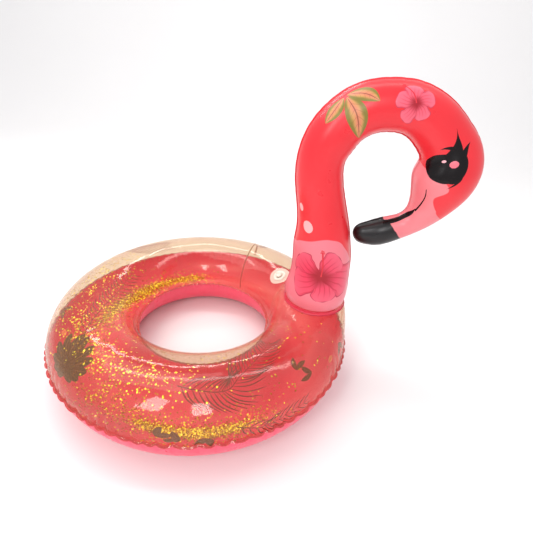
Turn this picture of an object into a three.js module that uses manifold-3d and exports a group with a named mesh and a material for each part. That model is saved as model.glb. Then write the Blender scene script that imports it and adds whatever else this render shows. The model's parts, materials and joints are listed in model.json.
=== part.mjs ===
// Inflatable flamingo pool ring. Millimetres, +Z up, the bird looking along +X.
// Heights inside the float group are measured from the seam plane half way up the ring.
import * as THREE from 'three';
import * as BufferGeometryUtils from 'three/addons/utils/BufferGeometryUtils.js';
import Module from 'manifold-3d';

const manifold = await Module();
manifold.setup();

// ring tube
const ringMeanRadius = 276.6;
const tubeHalfWidth = 103.4;
const tubeHalfHeight = 98;
const flatHalfWidth = 16;
const film = 0.3;
const weldGap = 0.3;
const weldLip = 5;

// neck foot, where the film of the ring is drawn up to the neck
const neckFootX = 288;
const plateauHeight = 101;
const plateauRadius = 76;
const shoulderRadius = 118;
const collarRadius = 74.8;
const collarTop = 110.2;
const neckBottom = 111.1;

// neck and head
const neckSideways = 0.92;
const neckLip = 3;

// valves
const patchRadius = 30;
const filmHoleRadius = 12;
const flangeRadius = 18;
const stemRadius = 7;
const boreRadius = 4.7;
const stemDepth = 15.5;

// loose glitter lying inside the tube
const glitterInset = 4;
const glitterThickness = 1;

const clearFilm = new THREE.MeshStandardMaterial({
  color: 0xf3dcc8, roughness: 0.12, metalness: 0, transparent: true, opacity: 0.35,
});
const pinkFilm = new THREE.MeshStandardMaterial({ color: 0xee5a66, roughness: 0.3, metalness: 0 });
const coralFilm = new THREE.MeshStandardMaterial({ color: 0xf4505a, roughness: 0.32, metalness: 0 });
const collarFilm = new THREE.MeshStandardMaterial({ color: 0xdd3a50, roughness: 0.35, metalness: 0 });
const valvePlastic = new THREE.MeshStandardMaterial({
  color: 0xe6dccb, roughness: 0.35, metalness: 0, transparent: true, opacity: 0.7,
});
const glitterMaterial = new THREE.MeshStandardMaterial({
  color: 0xd9a520, roughness: 0.3, metalness: 0.8,
});

/* Six times the signed volume of a closed mesh, positive when its faces point out. */
function signedVolume(geometry) {
  const position = geometry.getAttribute('position');
  const index = geometry.getIndex();
  const corners = [new THREE.Vector3(), new THREE.Vector3(), new THREE.Vector3()];
  let volume = 0;
  for (let i = 0; i < index.count; i += 3) {
    corners.forEach((corner, k) => corner.fromBufferAttribute(position, index.getX(i + k)));
    volume += corners[0].dot(corners[1].clone().cross(corners[2]));
  }
  return volume;
}

/* The same closed mesh with shared corners, no collapsed triangles and its faces pointing out. */
function closedBody(geometry) {
  geometry.deleteAttribute('normal');
  geometry.deleteAttribute('uv');
  const merged = BufferGeometryUtils.mergeVertices(geometry, 1e-4);
  const index = [...merged.getIndex().array];
  const kept = [];
  for (let i = 0; i < index.length; i += 3) {
    const triangle = index.slice(i, i + 3);
    if (new Set(triangle).size === 3) {
      kept.push(...triangle);
    }
  }
  merged.setIndex(kept);
  if (signedVolume(merged) < 0) {
    merged.setIndex(kept.reverse());
  }
  merged.computeVertexNormals();
  return merged;
}

/* A thin sheet as one closed body: an outer grid, an inner grid split along the same diagonals, and the
   rims between them.
   With round set, the columns run all the way round and only the first and last rows have rims. */
function sheetGeometry(rows, columns, outerPoint, innerPoint, round = false) {
  const perRow = round ? columns : columns + 1;
  const positions = [];
  for (const pointAt of [outerPoint, innerPoint]) {
    for (let row = 0; row <= rows; row++) {
      for (let column = 0; column < perRow; column++) {
        positions.push(...pointAt(row / rows, column / columns).toArray());
      }
    }
  }
  const outer = (row, column) => row * perRow + (column % perRow);
  const inner = (row, column) => (rows + 1) * perRow + outer(row, column);
  const indices = [];
  const quad = (a, b, c, d) => indices.push(a, b, c, a, c, d);
  for (let row = 0; row < rows; row++) {
    for (let column = 0; column < columns; column++) {
      const [a, b, c, d] = [[row, column], [row, column + 1], [row + 1, column + 1], [row + 1, column]];
      quad(outer(...a), outer(...b), outer(...c), outer(...d));
      quad(inner(...a), inner(...d), inner(...c), inner(...b));
    }
    if (!round) {
      quad(outer(row + 1, 0), inner(row + 1, 0), inner(row, 0), outer(row, 0));
      quad(outer(row, columns), inner(row, columns), inner(row + 1, columns), outer(row + 1, columns));
    }
  }
  for (let column = 0; column < columns; column++) {
    quad(outer(0, column), inner(0, column), inner(0, column + 1), outer(0, column + 1));
    quad(outer(rows, column + 1), inner(rows, column + 1), inner(rows, column), outer(rows, column));
  }
  const geometry = new THREE.BufferGeometry();
  geometry.setAttribute('position', new THREE.Float32BufferAttribute(positions, 3));
  geometry.setIndex(indices);
  return closedBody(geometry);
}

/* A profile of [radius, height] corners turned about +Z. */
function turned(profile, segments) {
  const closedProfile = [...profile, profile[0]].map((corner) => new THREE.Vector2(...corner));
  return closedBody(new THREE.LatheGeometry(closedProfile, segments).rotateX(Math.PI / 2));
}

/* The solid that is left of body once cutter is taken away. */
function subtracted(body, cutter) {
  const solidOf = (geometry) => new manifold.Manifold(new manifold.Mesh({
    numProp: 3,
    vertProperties: new Float32Array(geometry.getAttribute('position').array),
    triVerts: new Uint32Array(geometry.getIndex().array),
  }));
  const result = solidOf(body).subtract(solidOf(cutter)).getMesh();
  const geometry = new THREE.BufferGeometry();
  geometry.setAttribute('position', new THREE.Float32BufferAttribute(result.vertProperties, 3));
  geometry.setIndex([...result.triVerts]);
  return closedBody(geometry);
}

/* How far a point of the upper ring film is drawn up towards the plateau under the neck.
   The pull is full inside the plateau, fades out at the shoulder and is nothing at the seams. */
function drawnUp(point, sine) {
  const fromNeck = Math.hypot(point.x - neckFootX, point.y);
  const near = 1 - THREE.MathUtils.smoothstep(fromNeck, plateauRadius, shoulderRadius);
  return (plateauHeight - point.z) * near * THREE.MathUtils.smoothstep(sine, 0, 0.6);
}

/* The outward unit normal of a film surface at (a, b), from two small steps along the film. */
function filmNormal(surface, a, b) {
  const small = 1e-4;
  const inwards = a < 0.5 ? small : -small;
  const here = surface(a, b);
  const stepA = surface(a + inwards, b).sub(here).multiplyScalar(Math.sign(inwards));
  return stepA.cross(surface(a, b + small).sub(here)).normalize();
}

/* A point of the upper ring film; azimuth runs round the ring, section from the outer seam inwards. */
function upperFilmOutside(azimuth, section) {
  const radius = ringMeanRadius + tubeHalfWidth * Math.cos(section);
  const height = tubeHalfHeight * Math.sin(section);
  const point = new THREE.Vector3(radius * Math.cos(azimuth), radius * Math.sin(azimuth), height);
  point.z += drawnUp(point, Math.sin(section));
  return point;
}

/* The same point of the upper film, set in square to the film. */
function upperFilm(azimuth, section, inset) {
  const normal = filmNormal(upperFilmOutside, azimuth, section);
  return upperFilmOutside(azimuth, section).addScaledVector(normal, -inset);
}

/* A point of the lower ring film, with the flat strip that the ring stands on. */
function lowerFilm(azimuth, section, inset = 0) {
  const depth = tubeHalfHeight / Math.sqrt(1 - (flatHalfWidth / tubeHalfWidth) ** 2);
  const radius = ringMeanRadius + (tubeHalfWidth - inset) * Math.cos(section);
  const height = Math.min((depth - inset) * Math.sin(section), tubeHalfHeight - inset);
  return new THREE.Vector3(radius * Math.cos(azimuth), radius * Math.sin(azimuth), -height);
}

/* One half of the ring tube with its two welded lips; side is +1 for the upper film, -1 for the lower.
   The section angles include the edges of the flat strip. */
function ringHalf(filmPoint, side) {
  const aroundSteps = 48;
  const outerHalf = [0, 15, 30, 45, 60, 72].map(THREE.MathUtils.degToRad);
  outerHalf.push(Math.acos(flatHalfWidth / tubeHalfWidth));
  const sections = [...outerHalf, ...outerHalf.map((angle) => Math.PI - angle).reverse()];
  const acrossSteps = sections.length + 1;
  const pointAt = (inset) => (across, around) => {
    const step = Math.round(across * acrossSteps);
    const section = sections[THREE.MathUtils.clamp(step - 1, 0, sections.length - 1)];
    const azimuth = 2 * Math.PI * around;
    const point = filmPoint(azimuth, section, inset);
    point.z = side * Math.max(point.z * side, weldGap / 2 + film - inset);
    const outwards = new THREE.Vector3(Math.cos(azimuth), Math.sin(azimuth), 0);
    const lip = (step === 0) - (step === acrossSteps);
    return point.addScaledVector(outwards, lip * (weldLip + inset));
  };
  return sheetGeometry(acrossSteps, aroundSteps, pointAt(0), pointAt(film), true);
}

// Back and throat outlines of the neck and head in the plane y = 0, as matching [x, height] corners
// from the foot, up the neck, over the arch, round the head and out to the tip of the beak.
const neckOutlines = [
  [[214, neckBottom], [362, neckBottom]],
  [[211, 130], [365, 130]],
  [[216, 160], [364, 158]],
  [[221, 191], [361, 192]],
  [[221, 225], [358, 226]],
  [[219, 262], [350, 266]],
  [[221, 300], [340, 306]],
  [[212, 370], [316, 380]],
  [[203, 443], [302, 440]],
  [[208, 487], [304, 461]],
  [[224, 530], [314, 480]],
  [[250, 566], [326, 500]],
  [[284, 595], [342, 514]],
  [[325, 613], [360, 522]],
  [[370, 620], [381, 525]],
  [[415, 619], [403, 524]],
  [[460, 606], [423, 516]],
  [[500, 584], [440, 502]],
  [[535, 555], [454, 486]],
  [[563, 527], [459, 474]],
  [[588, 465], [454, 452]],
  [[586, 433], [453, 441]],
  [[556, 372], [460, 403]],
  [[508, 322], [460, 366]],
  [[475, 300], [450, 352]],
  [[440, 281], [430, 343]],
  [[408, 270], [400, 333]],
  [[380, 271], [375, 322]],
  [[360, 281], [360, 314]],
  [[351, 294], [352, 306]],
];
const [backOutline, throatOutline] = [0, 1].map((edge) => new THREE.CatmullRomCurve3(
  neckOutlines.map((pair) => new THREE.Vector3(pair[edge][0], 0, pair[edge][1])),
));

/* A point of the left side of the neck and head; along runs from foot to beak, section from the back
   to the throat. The section is an ellipse, round at the foot and narrower sideways above it. */
function neckFilmOutside(along, section) {
  const back = backOutline.getPoint(along);
  const throat = throatOutline.getPoint(along);
  const halfWidth = back.distanceTo(throat) / 2;
  const towardsBack = back.clone().sub(throat).normalize();
  const narrowing = THREE.MathUtils.smoothstep(along, 0, 0.12);
  const point = back.add(throat).multiplyScalar(0.5);
  point.addScaledVector(towardsBack, halfWidth * Math.cos(section));
  point.y = halfWidth * THREE.MathUtils.lerp(1, neckSideways, narrowing) * Math.sin(section);
  return point;
}

/* The same point on either side, set in square to the film; lip is 1 on the back lip, -1 on the throat's. */
function neckFilm(along, section, side, inset, lip) {
  const point = neckFilmOutside(along, section);
  point.addScaledVector(filmNormal(neckFilmOutside, along, section), -inset);
  const towardsBack = backOutline.getPoint(along).sub(throatOutline.getPoint(along)).normalize();
  point.addScaledVector(towardsBack, lip * (neckLip + inset));
  point.y = side * Math.max(point.y, weldGap / 2 + film - inset);
  return point;
}

/* One side panel of the neck and head with its two welded lips. */
function neckPanel(side) {
  const alongSteps = 42;
  const sectionSteps = 8;
  const acrossSteps = sectionSteps + 2;
  const pointAt = (inset) => (along, across) => {
    const step = Math.round(across * acrossSteps);
    const section = Math.PI * THREE.MathUtils.clamp((step - 1) / sectionSteps, 0, 1);
    return neckFilm(along, section, side, inset, (step === 0) - (step === acrossSteps));
  };
  return sheetGeometry(alongSteps, acrossSteps, pointAt(0), pointAt(film));
}

/* A frame on a curved film at (a, b): the point, the two directions along the film and outwards,
   and a function that steps sideways and outwards from the point in millimetres. */
function filmFrame(surface, a, b) {
  const origin = surface(a, b);
  const small = 1e-4;
  const alongA = surface(a + small, b).sub(origin).divideScalar(small);
  const alongB = surface(a, b + small).sub(origin).divideScalar(small);
  const offset = (stepA, stepB, lift) => {
    const atA = a + stepA / alongA.length();
    const atB = b + stepB / alongB.length();
    return surface(atA, atB).addScaledVector(filmNormal(surface, atA, atB), lift);
  };
  const axisZ = filmNormal(surface, a, b);
  const axisX = alongA.clone().normalize();
  const axisY = axisZ.clone().cross(axisX);
  return { matrix: new THREE.Matrix4().makeBasis(axisX, axisY, axisZ).setPosition(origin), offset };
}

/* A ring of sheet lying on a curved film, between two radii and two heights above the film. */
function sheetOnFilm(frame, rows, innerRadius, outerRadius, lowLift, highLift) {
  const pointAt = (lift) => (across, around) => {
    const radius = THREE.MathUtils.lerp(innerRadius, outerRadius, across);
    const angle = 2 * Math.PI * around;
    return frame.offset(radius * Math.cos(angle), radius * Math.sin(angle), lift);
  };
  return sheetGeometry(rows, 20, pointAt(highLift), pointAt(lowLift), true);
}

/* The strap of a valve: a thin band, five bends long, from the edge of the cap down to the stem. */
function strapGeometry() {
  const bends = [[8.3, 5.3], [11.5, 6.4], [14.6, 5.7], [15.2, 4.3], [12.8, 3.3], [8.8, 3.2]];
  const path = new THREE.CatmullRomCurve3(bends.map(([x, z]) => new THREE.Vector3(x, 0, z)));
  const pointAt = (lift) => (along, across) => {
    const tangent = path.getTangent(along);
    const upwards = new THREE.Vector3(-tangent.z, 0, tangent.x);
    const point = path.getPoint(along).addScaledVector(upwards, lift);
    point.y = THREE.MathUtils.lerp(-2, 2, across);
    return point;
  };
  return sheetGeometry(10, 1, pointAt(0.4), pointAt(-0.4));
}

const float = new THREE.Group();

function addPiece(parent, name, geometry, material) {
  const mesh = new THREE.Mesh(geometry, material.clone());
  mesh.name = name;
  parent.add(mesh);
}

/* A push-in air valve, pressed in and plugged, standing on a curved film. */
function addValve(name, frame) {
  const patchBottom = 0.8;
  const patchTop = patchBottom + 0.4;
  const flangeBottom = patchTop + weldGap;
  const patch = sheetOnFilm(frame, 3, filmHoleRadius, patchRadius, patchBottom, patchTop);
  const flange = sheetOnFilm(frame, 1, 11, flangeRadius, flangeBottom, flangeBottom + 1);
  addPiece(float, `${name}_patch`, patch, valvePlastic);
  addPiece(float, `${name}_flange`, flange, valvePlastic);

  const valve = new THREE.Group();
  valve.applyMatrix4(frame.matrix);
  float.add(valve);
  const skirt = [[9.8, 1.9], [9.3, -5], [8.2, -9.5], [7.4, -10], [7.4, -9.3], [7.9, -8.9], [8.7, -4.8],
    [9.2, 1.9]];
  const stem = [[boreRadius, -stemDepth], [stemRadius, -stemDepth], [stemRadius, 2.5], [8.5, 2.5],
    [8.5, 3.7], [8.2, 4], [boreRadius, 4]];
  const plug = [[0, -6], [3.6, -6], [boreRadius - 0.3, -5], [boreRadius - 0.3, 4.3], [8, 4.3], [8, 5.7],
    [7.6, 6.1], [0, 6.1]];
  addPiece(valve, `${name}_skirt`, turned(skirt, 18), valvePlastic);
  addPiece(valve, `${name}_stem`, turned(stem, 18), valvePlastic);
  addPiece(valve, `${name}_plug`, turned(plug, 18), valvePlastic);
  addPiece(valve, `${name}_strap`, strapGeometry(), valvePlastic);
  const flap = turned([[0, -0.3], [5.8, -0.3], [5.8, 0.3], [0, 0.3]], 18);
  flap.translate(0, 0, -stemDepth - 0.6);
  addPiece(valve, `${name}_flap`, flap, valvePlastic);
}

/* The film around a valve hole is cut away right through along the valve's axis. */
function withValveHole(filmGeometry, frame) {
  const cutter = new THREE.CylinderGeometry(filmHoleRadius, filmHoleRadius, 30, 24);
  cutter.rotateX(Math.PI / 2).applyMatrix4(frame.matrix);
  return subtracted(filmGeometry, closedBody(cutter));
}

/* Loose glitter resting on the lower film between two azimuths and two section angles, in degrees. */
function glitterDrift(azimuths, sections) {
  const degrees = THREE.MathUtils.degToRad;
  const pointAt = (inset) => (around, across) => lowerFilm(
    degrees(THREE.MathUtils.lerp(...azimuths, around)),
    degrees(THREE.MathUtils.lerp(...sections, across)),
    inset,
  );
  return sheetGeometry(14, 3, pointAt(glitterInset), pointAt(glitterInset + glitterThickness));
}

// the ring valve sits on the inner shoulder of the tube beside the neck
const ringValve = filmFrame(
  upperFilmOutside,
  THREE.MathUtils.degToRad(30),
  THREE.MathUtils.degToRad(117.7),
);
// the neck valve sits low on the bird's left side, in the middle of the panel
const neckValve = filmFrame(neckFilmOutside, 0.165, Math.PI / 2);

addPiece(float, 'ring_bottom_panel', ringHalf(lowerFilm, -1), pinkFilm);
addPiece(float, 'ring_top_panel', withValveHole(ringHalf(upperFilm, 1), ringValve), clearFilm);
addPiece(float, 'ring_glitter_front', glitterDrift([-120, -40], [78, 98]), glitterMaterial);
addPiece(float, 'ring_glitter_rear', glitterDrift([100, 177], [50, 75]), glitterMaterial);
addValve('ring_valve', ringValve);

const collar = [[collarRadius - 1, plateauHeight + weldGap], [collarRadius + 4, plateauHeight + weldGap],
  [collarRadius + 4, plateauHeight + 0.8], [collarRadius, plateauHeight + 1.2],
  [collarRadius, collarTop], [collarRadius - 1, collarTop]];
addPiece(float, 'neck_collar', turned(collar, 40).translate(neckFootX, 0, 0), collarFilm);
const foot = new THREE.CylinderGeometry(collarRadius - 0.3, collarRadius - 0.3, film, 40);
foot.rotateX(Math.PI / 2).translate(neckFootX, 0, collarTop + weldGap + film / 2);
addPiece(float, 'neck_foot_panel', closedBody(foot), coralFilm);
addPiece(float, 'neck_right_panel', neckPanel(-1), coralFilm);
addPiece(float, 'neck_left_panel', withValveHole(neckPanel(1), neckValve), coralFilm);
addValve('neck_valve', neckValve);

// the origin is on the floor under the middle of the float's outline
const poolRing = new THREE.Group();
poolRing.add(float);
const outline = new THREE.Box3().setFromObject(poolRing, true);
const middle = outline.getCenter(new THREE.Vector3());
float.position.set(-middle.x, -middle.y, -outline.min.z);

export default poolRing;
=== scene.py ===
"""Looks of the inflatable flamingo ring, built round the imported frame. Metres, +Z up, beak towards +X."""

import json

import bmesh
import bpy
import numpy as np
from mathutils import Matrix, Vector


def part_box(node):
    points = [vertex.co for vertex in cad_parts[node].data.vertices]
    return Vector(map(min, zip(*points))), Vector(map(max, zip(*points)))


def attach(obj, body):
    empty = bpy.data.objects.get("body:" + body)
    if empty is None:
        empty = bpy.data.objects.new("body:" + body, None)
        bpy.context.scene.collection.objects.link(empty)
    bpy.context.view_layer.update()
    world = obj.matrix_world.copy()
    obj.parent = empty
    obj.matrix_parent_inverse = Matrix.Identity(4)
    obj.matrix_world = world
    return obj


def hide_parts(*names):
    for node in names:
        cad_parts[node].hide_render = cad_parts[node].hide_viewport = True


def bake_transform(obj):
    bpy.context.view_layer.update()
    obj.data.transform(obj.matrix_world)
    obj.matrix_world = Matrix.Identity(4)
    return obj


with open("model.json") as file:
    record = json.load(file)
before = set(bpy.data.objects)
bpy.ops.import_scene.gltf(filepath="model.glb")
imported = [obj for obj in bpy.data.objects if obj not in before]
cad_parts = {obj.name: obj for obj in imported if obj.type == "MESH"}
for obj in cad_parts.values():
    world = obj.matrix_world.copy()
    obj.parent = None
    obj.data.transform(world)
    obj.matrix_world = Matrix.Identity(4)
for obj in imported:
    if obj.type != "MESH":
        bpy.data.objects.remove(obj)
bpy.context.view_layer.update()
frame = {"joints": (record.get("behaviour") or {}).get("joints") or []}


# ---- Camera ----
# It stands on the bird's right, at head height, and looks down on the ring at about 31 degrees.
# The lens is wide, and everything is sharp.

camera_place = Vector((0.0523, -0.7993, 0.7542))
camera_forward = Vector((0.0027, 0.8600, -0.5103))
camera_right = Vector((0.9963, 0.0418, 0.0757))
camera_lens = 25.18
sensor_width = 36.0

backwards = -camera_forward.normalized()
upwards = backwards.cross(camera_right).normalized()
sideways = upwards.cross(backwards)
turn = Matrix((sideways, upwards, backwards)).transposed()
camera_data = bpy.data.cameras.new("camera")
camera_data.lens = camera_lens
camera_data.sensor_width = sensor_width
camera_data.clip_start = 0.01
camera = bpy.data.objects.new("camera", camera_data)
camera.matrix_world = Matrix.Translation(camera_place) @ turn.to_4x4()
bpy.context.scene.collection.objects.link(camera)
bpy.context.scene.camera = camera


# ---- Floor and light ----
# A pale, almost white floor that curves up into a wall a few metres behind. The light is soft and comes
# from above; two tall windows on the camera's side leave the bright streaks on the film.

floor_half_width = 9.0
floor_front = -6.0
cove_start = 2.2
cove_radius = 2.5
cove_height = 9.0
floor_colour = (246, 245, 244)
floor_shade = (243, 242, 241)
room_colour = (250, 249, 252)
room_strength = 0.76
white = (1, 1, 1)
warm_white = (1, 0.98, 0.95)
window_target = (-0.1, -0.3, 0.15)
# name, place, target, width, height, energy, tint
lights = (
    ("key", (-0.9, 0.1, 2.3), (0.0, 0.0, 0.3), 1.8, 1.8, 15.0, warm_white),
    ("strip", (-0.7, 1.25, 1.7), (-0.2, -0.2, 0.2), 1.7, 0.1, 7.0, white),
    ("wall_wash", (0.0, 0.6, 3.6), (0.0, 4.0, 1.2), 5.0, 1.0, 75.0, white),
    ("left_window", (-0.75, -1.5, 1.35), window_target, 0.35, 0.9, 8.0, white),
    ("right_window", (0.2, -1.9, 1.45), window_target, 0.3, 0.9, 8.0, white),
)


def colour(red, green, blue):
    """A colour given as three screen values from 0 to 255, in the linear values that shaders take."""
    screen = np.array([red, green, blue]) / 255
    linear = np.where(screen < 0.04045, screen / 12.92, ((screen + 0.055) / 1.055) ** 2.4)
    return (*linear.tolist(), 1.0)


class Wire:
    """One output socket in a material. Arithmetic on it adds the Math nodes that work it out."""

    def __init__(self, tree, socket=None):
        self.tree = tree
        self.socket = socket

    def node(self, kind, settings=None, inputs=None, output=0):
        """Adds a node of any kind: its settings first, ramp stops among them, then its sockets."""
        added = self.tree.nodes.new("ShaderNode" + kind)
        for key, value in (settings or {}).items():
            if key == "stops":
                ramp = added.color_ramp
                for place, stop_colour in value[len(ramp.elements):]:
                    ramp.elements.new(place)
                for element, (place, stop_colour) in zip(ramp.elements, sorted(value)):
                    element.position = place
                    element.color = stop_colour
            elif key == "interpolation":
                added.color_ramp.interpolation = value
            else:
                setattr(added, key, value)
        for key, value in (inputs or {}).items():
            if isinstance(value, Wire):
                self.tree.links.new(value.socket, added.inputs[key])
            else:
                added.inputs[key].default_value = value
        return Wire(self.tree, added.outputs[output])

    def maths(self, operation, *operands):
        """The result of one Math node."""
        return self.node("Math", {"operation": operation}, dict(enumerate(operands)))

    def mixed(self, low, high):
        """The colour low where this value is 0, high where it is 1, and blends between."""
        return self.node("Mix", {"data_type": "RGBA"}, {0: self, 6: low, 7: high}, 2)

    def step(self, low, high):
        """0 below low, 1 above high and smooth between."""
        inputs = {"Value": self, "From Min": low, "From Max": high}
        return self.node("MapRange", {"interpolation_type": "SMOOTHSTEP"}, inputs)

    def __add__(self, other):
        return self.maths("ADD", self, other)

    def __sub__(self, other):
        return self.maths("SUBTRACT", self, other)

    def __rsub__(self, other):
        return self.maths("SUBTRACT", other, self)

    def __mul__(self, other):
        return self.maths("MULTIPLY", self, other)

    def __rmul__(self, other):
        return self.maths("MULTIPLY", other, self)

    def __truediv__(self, other):
        return self.maths("DIVIDE", self, other)

    def __pow__(self, other):
        return self.maths("POWER", self, other)


def new_material(name):
    """A fresh node material, a Wire to build its nodes from, and its Principled shader."""
    material = bpy.data.materials.new(name)
    material.use_nodes = True
    return material, Wire(material.node_tree), material.node_tree.nodes["Principled BSDF"]


def link(wire, shader, socket):
    """Feeds a shader's socket from a wire."""
    wire.tree.links.new(wire.socket, shader.inputs[socket])


def noise(start, scale, detail=2.0):
    """Cloudy noise from 0 to 1 in the object's own coordinates, scale clouds to the metre."""
    place = start.node("TexCoord", output="Object")
    return start.node("TexNoise", {}, {"Vector": place, "Scale": scale, "Detail": detail})


def reading(start, key):
    """A value that the mesh stores at each of its points."""
    return start.node("Attribute", {"attribute_name": key}, output="Fac")


floor_material, start, shader = new_material("floor")
link(noise(start, 1.3).mixed(colour(*floor_colour), colour(*floor_shade)), shader, "Base Color")
shader.inputs["Roughness"].default_value = 0.8
bend = np.linspace(0, np.pi / 2, 24)
cove_y = np.concatenate([[floor_front], cove_start + cove_radius * np.sin(bend), [cove_start + cove_radius]])
cove_z = np.concatenate([[0.0], cove_radius * (1 - np.cos(bend)), [cove_height]])
cove_points = [(side * floor_half_width, y, z) for y, z in zip(cove_y, cove_z) for side in (-1, 1)]
cove_faces = [(2 * i, 2 * i + 1, 2 * i + 3, 2 * i + 2) for i in range(len(cove_y) - 1)]
floor_mesh = bpy.data.meshes.new("floor")
floor_mesh.from_pydata(cove_points, [], cove_faces)
floor_mesh.polygons.foreach_set("use_smooth", [True] * len(cove_faces))
floor_mesh.materials.append(floor_material)
floor = bpy.data.objects.new("floor", floor_mesh)
bpy.context.scene.collection.objects.link(floor)

room = bpy.data.worlds.new("room")
room.use_nodes = True
background = room.node_tree.nodes["Background"]
background.inputs["Color"].default_value = colour(*room_colour)
background.inputs["Strength"].default_value = room_strength
bpy.context.scene.world = room
bpy.context.scene.view_settings.view_transform = "Standard"


def add_light(name, place, target, width, height, energy, tint):
    """A rectangular soft light at place, facing target."""
    data = bpy.data.lights.new(name, "AREA")
    data.shape = "RECTANGLE"
    data.size = width
    data.size_y = height
    data.energy = energy
    data.color = tint
    light = bpy.data.objects.new(name, data)
    away = (Vector(place) - Vector(target)).to_track_quat("Z", "Y")
    light.matrix_world = Matrix.Translation(place) @ away.to_matrix().to_4x4()
    bpy.context.scene.collection.objects.link(light)


for light in lights:
    add_light(*light)


# ---- Lower ring film ----
# The outer and lower half of the air tube: opaque pink vinyl film, cut flat and blown up round, so it
# gathers in small puckers along both welded seams. Its lips are welded to the lips of the upper film.

ring_low, ring_high = (np.array(corner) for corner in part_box("ring_bottom_panel"))
tube_half_width = 0.1034
tube_half_height = 0.098
flat_half_width = 0.016
weld_lip = 0.005
film_thickness = 0.0003
weld_gap = 0.0003
ring_middle = (ring_low + ring_high) / 2
ring_radius = (ring_high[0] - ring_low[0]) / 2 - weld_lip - tube_half_width
seam_height = ring_high[2] + weld_gap / 2
outer_folds = 80
outer_fold_depth = 0.0058
outer_fold_reach = 0.03
inner_fold_depth = 0.0022
inner_fold_reach = 0.017
seam_wave = 0.0012
seam_wave_reach = 0.12
seam_zone = 0.01
neck_foot = np.array(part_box("neck_collar")[0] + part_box("neck_collar")[1])[:2] / 2
plateau_height = 0.101
plateau_radius = 0.076
shoulder_radius = 0.118
gather_depth = 0.0034
gather_count = 8
gather_start = (0.078, 0.092)
gather_end = (0.1, 0.15)
pink_vinyl = (250, 82, 110)
pink_shade = (241, 79, 106)


def smooth(value, low, high):
    """0 below low, 1 above high, and the S-shaped cubic 3t^2 - 2t^3 between."""
    t = np.clip((value - low) / (high - low), 0, 1)
    return t * t * (3 - 2 * t)


def fold_phase(azimuth):
    """The running phase of the puckers: even steps round the ring, made uneven by three slow waves."""
    wander = 1.1 * np.sin(3 * azimuth + 0.5) + 0.8 * np.sin(8 * azimuth + 2.0) + 0.5 * np.sin(19 * azimuth)
    return outer_folds * azimuth / 2 + wander


def seam_line(azimuth):
    """How far the welded seam waves up and down, once for each pucker."""
    return seam_wave * np.sin(2 * fold_phase(azimuth) + 0.8)


def puckers(azimuth, section):
    """How far the ring's film sinks at its puckers.
    Across a pucker it is the narrow dip (1 - |sin phase|)^1.6; along it, a bell curve from the seam."""
    crease = (1 - np.abs(np.sin(fold_phase(azimuth)))) ** 1.6
    uneven = 0.72 + 0.28 * np.sin(5 * azimuth + 1.0) * np.sin(17 * azimuth)
    reach = 0.8 + 0.35 * np.sin(13 * azimuth + 0.7)
    from_outer = np.abs(section) * tube_half_width
    from_inner = (np.pi - np.abs(section)) * tube_half_width
    outer = outer_fold_depth * np.exp(-((from_outer / (outer_fold_reach * reach)) ** 2))
    inner = inner_fold_depth * np.exp(-((from_inner / (inner_fold_reach * reach)) ** 2))
    return -crease * uneven * (outer + inner)


def ring_surface(azimuth, section):
    """A point of the blown-up ring: an ellipse of the tube's size carried round the ring's circle.
    Section angles above 0 give the upper film, which is drawn up level under the neck and gathers round
    its foot; those below 0 give the lower film, flattened where it stands. Both sink at the puckers."""
    azimuth, section = np.broadcast_arrays(azimuth, section)
    sink = puckers(azimuth, section)
    radius = ring_radius + (tube_half_width + sink) * np.cos(section)
    flattening = np.sqrt(1 - (flat_half_width / tube_half_width) ** 2)
    below = np.minimum(tube_half_height / flattening * np.abs(np.sin(section)), tube_half_height)
    height = np.where(section < 0, -below, tube_half_height * np.sin(section)) + sink * np.sin(section)
    x = ring_middle[0] + radius * np.cos(azimuth)
    y = ring_middle[1] + radius * np.sin(azimuth)
    from_neck = np.hypot(x - neck_foot[0], y - neck_foot[1])
    pull = (1 - smooth(from_neck, plateau_radius, shoulder_radius)) * smooth(np.sin(section), 0, 0.6)
    height = height + (plateau_height - height) * pull
    round_neck = np.arctan2(y - neck_foot[1], x - neck_foot[0])
    round_foot = smooth(from_neck, *gather_start) * (1 - smooth(from_neck, *gather_end))
    band = round_foot * smooth(section, 0.3, 0.9)
    gathers = 1 - np.abs(np.sin(gather_count * round_neck + np.sin(3 * round_neck)))
    near_seam = np.exp(-((np.sin(section) / seam_wave_reach) ** 2))
    height = height - gather_depth * band * gathers + near_seam * seam_line(azimuth)
    return np.stack([x, y, seam_height + height], -1)


def lifted(surface, u, v, lift):
    """Points of surface(u, v) moved out by lift along the cross product of two small steps along it."""
    small = 1e-4
    here = surface(u, v)
    normal = np.cross(surface(u + small, v) - here, surface(u, v + small) - here)
    length = np.linalg.norm(normal, axis=-1, keepdims=True)
    return here + normal / np.maximum(length, 1e-12) * np.asarray(lift)[..., None]


def grid_faces(rows, columns, round_rows=False, round_columns=False):
    """The four-cornered faces of a grid of points counted row by row; a round side meets its own start."""
    row, column = np.meshgrid(np.arange(rows - (not round_rows)), np.arange(columns - (not round_columns)),
                              indexing="ij")
    next_row = (row + 1) % rows
    next_column = (column + 1) % columns
    corners = [(row, column), (next_row, column), (next_row, next_column), (row, next_column)]
    return np.stack([r * columns + c for r, c in corners], -1).reshape(-1, 4)


def grid_part(points, along=0.0, across=0.0, tone=0.5, round_rows=False, round_columns=False):
    """One grid of a piece: its points, its faces and the values that its material reads at each point."""
    rows, columns = points.shape[:2]
    values = [np.broadcast_to(value, (rows, columns)).ravel() for value in (along, across, tone)]
    return points.reshape(-1, 3), grid_faces(rows, columns, round_rows, round_columns), values


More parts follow.
